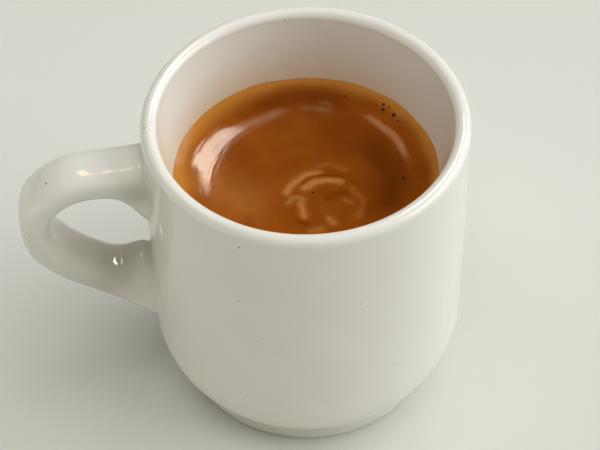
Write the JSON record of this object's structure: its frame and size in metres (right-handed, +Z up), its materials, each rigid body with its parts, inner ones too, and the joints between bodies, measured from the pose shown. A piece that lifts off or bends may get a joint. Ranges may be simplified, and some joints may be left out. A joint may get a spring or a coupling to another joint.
{
  "type": "espresso shot in a cup",
  "caption": "Shot of espresso with golden-brown crema in a thick-walled white porcelain espresso cup with a strap handle, round shoulder and low foot ring.",
  "frame": {"origin": "middle of the footprint, cup and handle together, on the surface that the cup stands on; the cup's own axis stands 11.9 mm towards +X", "axes": "+Z up, the handle points towards -X, and the X-Z plane is the plane of symmetry"},
  "size_m": [0.0838, 0.06, 0.0655],
  "materials": {
    "glazed_porcelain": "glossy transparent glaze over white porcelain",
    "coffee": "dark brown liquid",
    "crema_foam": "fine wet foam with a soft sheen"
  },
  "bodies": {
    "root": {"cup": "glazed_porcelain", "espresso": "coffee", "crema": "crema_foam"}
  },
  "joints": []
}
